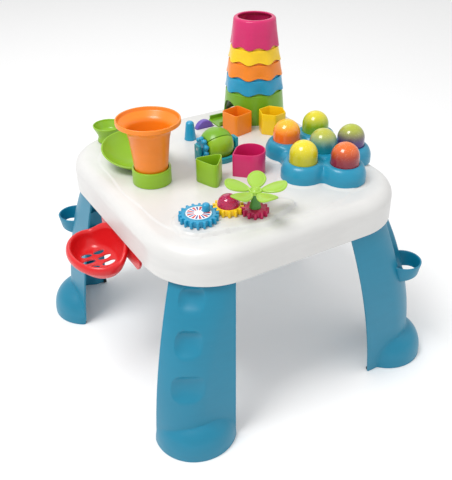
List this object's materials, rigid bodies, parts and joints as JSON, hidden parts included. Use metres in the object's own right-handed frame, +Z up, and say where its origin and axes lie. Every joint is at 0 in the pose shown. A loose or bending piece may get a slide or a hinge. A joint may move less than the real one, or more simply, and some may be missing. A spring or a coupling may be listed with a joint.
{
  "type": "musical activity table",
  "caption": "Toddler's play table on splayed shell legs with gears, ball funnel, spinners, shape cups, a cup tower, light-up keys and a side basket.",
  "frame": {"origin": "on the floor under the middle of the whole object, basket included", "axes": "+Z up; +X across the top towards the keys; the front leg is in the -X -Y corner and the basket is on the -X side"},
  "size_m": [0.5614, 0.536, 0.53],
  "materials": {
    "board_green": "green board",
    "cell_jacket": "plain dark jacket",
    "clear_pink": "clear pink",
    "contact_metal": "nickel plate",
    "cover_grey": "matt moulded light grey",
    "dark_green": "satin moulded dark green",
    "deep_blue": "satin moulded blue",
    "green_plastic": "satin moulded green",
    "key_lemon": "translucent lemon",
    "key_lime": "translucent lime",
    "key_orange": "translucent orange",
    "key_purple": "translucent purple",
    "key_red": "translucent red",
    "key_teal": "translucent teal",
    "lamp_white": "clear lamp",
    "leg_blue": "satin moulded blue",
    "lime_plastic": "satin moulded lime",
    "magenta_plastic": "satin moulded magenta",
    "orange_plastic": "satin moulded orange",
    "purple_plastic": "satin moulded purple",
    "red_plastic": "gloss moulded red",
    "rubber": "black rubber",
    "silicone": "translucent silicone",
    "speaker_black": "black cone",
    "steel": "bright zinc",
    "teal_plastic": "satin moulded teal",
    "white_plastic": "satin moulded white",
    "yellow_plastic": "satin moulded yellow"
  },
  "bodies": {
    "table": {"back_leg": "leg_blue", "ball_basket": "red_plastic", "ball_bowl": "lime_plastic", "ball_ramp": "green_plastic", "battery_cells": "cell_jacket", "battery_contacts": "contact_metal", "battery_tray": "cover_grey", "bottom_cover": "cover_grey", "circuit_board": "board_green", "cover_screws": "steel", "foot_pads": "rubber", "front_leg": "leg_blue", "gear_pins": "steel", "key_lamps": "lamp_white", "key_pod": "deep_blue", "left_leg": "leg_blue", "lemon_key_spring": "silicone", "lime_key_spring": "silicone", "orange_key_spring": "silicone", "purple_key_spring": "silicone", "red_key_spring": "silicone", "right_leg": "leg_blue", "roller_pin": "steel", "speaker": "speaker_black", "spinner_axle": "steel", "spinner_cradle": "teal_plastic", "stop_post": "deep_blue", "teal_key_spring": "silicone", "top_shell": "white_plastic", "tower_base": "green_plastic"},
    "funnel": {"funnel": "orange_plastic"},
    "battery_door": {"battery_door": "cover_grey", "battery_door_screw": "steel"},
    "blue_gear": {"blue_gear": "deep_blue", "dial_insert": "white_plastic", "dial_knob": "deep_blue"},
    "yellow_gear": {"yellow_gear": "yellow_plastic", "clear_dome": "clear_pink"},
    "magenta_gear": {"magenta_gear": "magenta_plastic", "flower_stem": "dark_green", "flower": "lime_plastic"},
    "spinner": {"spinner_green": "green_plastic", "spinner_lime": "lime_plastic", "spinner_blue": "teal_plastic", "bead_wheel": "teal_plastic"},
    "roller": {"purple_roller": "purple_plastic"},
    "blue_cup": {"blue_cup": "deep_blue"},
    "orange_cup": {"orange_cup": "orange_plastic"},
    "yellow_cup": {"yellow_cup": "yellow_plastic"},
    "pink_cup": {"pink_cup": "magenta_plastic"},
    "triangle_cup": {"triangle_cup": "lime_plastic"},
    "drop_cup": {"drop_cup": "magenta_plastic"},
    "square_cup": {"square_cup": "orange_plastic"},
    "hexagon_cup": {"hexagon_cup": "yellow_plastic"},
    "orange_key": {"orange_key": "key_orange"},
    "lemon_key": {"lemon_key": "key_lemon"},
    "red_key": {"red_key": "key_red"},
    "purple_key": {"purple_key": "key_purple"},
    "lime_key": {"lime_key": "key_lime"},
    "teal_key": {"teal_key": "key_teal"}
  },
  "joints": [
    {"name": "funnel_lift", "type": "slide", "parent": "table", "child": "funnel", "axis": [0, 0, 1], "range_m": [0, 0.06]},
    {"name": "battery_door_drop", "type": "slide", "parent": "table", "child": "battery_door", "axis": [0, 0, -1], "range_m": [0, 0.05]},
    {"name": "blue_gear_turn", "type": "hinge", "parent": "table", "child": "blue_gear", "pos_m": [-0.12225, -0.145, 0.351], "axis": [0, 0, 1], "continuous": true},
    {"name": "yellow_gear_turn", "type": "hinge", "parent": "table", "child": "yellow_gear", "pos_m": [-0.07266, -0.14587, 0.351], "axis": [0, 0, 1], "continuous": true},
    {"name": "magenta_gear_turn", "type": "hinge", "parent": "table", "child": "magenta_gear", "pos_m": [-0.04318, -0.17335, 0.351], "axis": [0, 0, 1], "continuous": true},
    {"name": "spinner_turn", "type": "hinge", "parent": "table", "child": "spinner", "pos_m": [0.01275, 0.038, 0.361], "axis": [1, 0, 0], "continuous": true},
    {"name": "roller_turn", "type": "hinge", "parent": "table", "child": "roller", "pos_m": [0.05375, 0.157, 0.3365], "axis": [0, 1, 0], "continuous": true},
    {"name": "blue_cup_lift", "type": "slide", "parent": "table", "child": "blue_cup", "axis": [0, 0, 1], "range_m": [0, 0.04]},
    {"name": "orange_cup_lift", "type": "slide", "parent": "blue_cup", "child": "orange_cup", "axis": [0, 0, 1], "range_m": [0, 0.04]},
    {"name": "yellow_cup_lift", "type": "slide", "parent": "orange_cup", "child": "yellow_cup", "axis": [0, 0, 1], "range_m": [0, 0.04]},
    {"name": "pink_cup_lift", "type": "slide", "parent": "yellow_cup", "child": "pink_cup", "axis": [0, 0, 1], "range_m": [0, 0.04]},
    {"name": "triangle_cup_lift", "type": "slide", "parent": "table", "child": "triangle_cup", "axis": [0, 0, 1], "range_m": [0, 0.05]},
    {"name": "drop_cup_lift", "type": "slide", "parent": "table", "child": "drop_cup", "axis": [0, 0, 1], "range_m": [0, 0.05]},
    {"name": "square_cup_lift", "type": "slide", "parent": "table", "child": "square_cup", "axis": [0, 0, 1], "range_m": [0, 0.05]},
    {"name": "hexagon_cup_lift", "type": "slide", "parent": "table", "child": "hexagon_cup", "axis": [0, 0, 1], "range_m": [0, 0.05]},
    {"name": "orange_key_press", "type": "slide", "parent": "table", "child": "orange_key", "axis": [0, 0, -1], "range_m": [0, 0.0035], "stiffness_N_per_m": 300, "springref_m": -0.0017, "deforming": ["orange_key_spring"]},
    {"name": "lemon_key_press", "type": "slide", "parent": "table", "child": "lemon_key", "axis": [0, 0, -1], "range_m": [0, 0.0035], "stiffness_N_per_m": 300, "springref_m": -0.0017, "deforming": ["lemon_key_spring"]},
    {"name": "red_key_press", "type": "slide", "parent": "table", "child": "red_key", "axis": [0, 0, -1], "range_m": [0, 0.0035], "stiffness_N_per_m": 300, "springref_m": -0.0017, "deforming": ["red_key_spring"]},
    {"name": "purple_key_press", "type": "slide", "parent": "table", "child": "purple_key", "axis": [0, 0, -1], "range_m": [0, 0.0035], "stiffness_N_per_m": 300, "springref_m": -0.0017, "deforming": ["purple_key_spring"]},
    {"name": "lime_key_press", "type": "slide", "parent": "table", "child": "lime_key", "axis": [0, 0, -1], "range_m": [0, 0.0035], "stiffness_N_per_m": 300, "springref_m": -0.0017, "deforming": ["lime_key_spring"]},
    {"name": "teal_key_press", "type": "slide", "parent": "table", "child": "teal_key", "axis": [0, 0, -1], "range_m": [0, 0.0035], "stiffness_N_per_m": 300, "springref_m": -0.0017, "deforming": ["teal_key_spring"]}
  ],
  "couplings": [
    {"joint": "yellow_gear_turn", "follows": "blue_gear_turn", "ratio": -1.2857},
    {"joint": "magenta_gear_turn", "follows": "blue_gear_turn", "ratio": 1.5}
  ]
}
